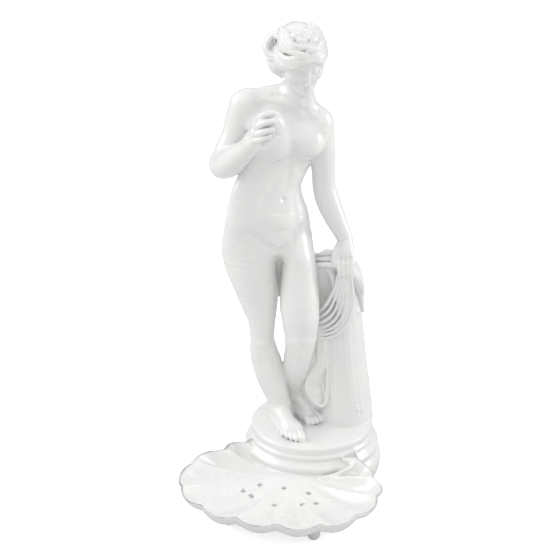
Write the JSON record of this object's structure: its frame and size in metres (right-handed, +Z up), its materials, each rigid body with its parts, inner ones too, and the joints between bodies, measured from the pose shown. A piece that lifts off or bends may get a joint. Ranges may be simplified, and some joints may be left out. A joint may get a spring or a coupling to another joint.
{
  "type": "porcelain figurine",
  "caption": "White glazed porcelain figurine: a standing classical figure leans on a draped tree stump on a round moulded plinth, joined to a scalloped shell dish with drain holes.",
  "frame": {"origin": "middle of the plinth's flat underside, on the table plane", "axes": "+Z up; the shell dish lies towards -Y, its line of symmetry on the Y axis; +X is to the right of someone facing the dish"},
  "size_m": [0.1404, 0.1805, 0.3367],
  "materials": {
    "base_glaze": "white porcelain under a clear gloss glaze",
    "dish_glaze": "white porcelain under a clear gloss glaze, thin and greyish along the rim",
    "feet_glaze": "white porcelain under a clear gloss glaze, wiped at the tips",
    "stump_glaze": "white porcelain under a clear gloss glaze",
    "cloth_glaze": "white porcelain under a clear gloss glaze",
    "figure_glaze": "white porcelain under a clear gloss glaze",
    "hair_glaze": "white porcelain under a clear gloss glaze",
    "apple_glaze": "white porcelain under a clear gloss glaze"
  },
  "bodies": {
    "root": {"plinth": "base_glaze", "shell_dish": "dish_glaze", "front_feet": "feet_glaze", "tree_stump": "stump_glaze", "drapery": "cloth_glaze", "cloth_fall": "cloth_glaze", "torso": "figure_glaze", "head": "figure_glaze", "hair_bun": "hair_glaze", "right_arm": "figure_glaze", "right_hand": "figure_glaze", "apple": "apple_glaze", "left_arm": "figure_glaze", "left_hand": "figure_glaze", "right_leg": "figure_glaze", "left_leg": "figure_glaze"}
  },
  "joints": []
}
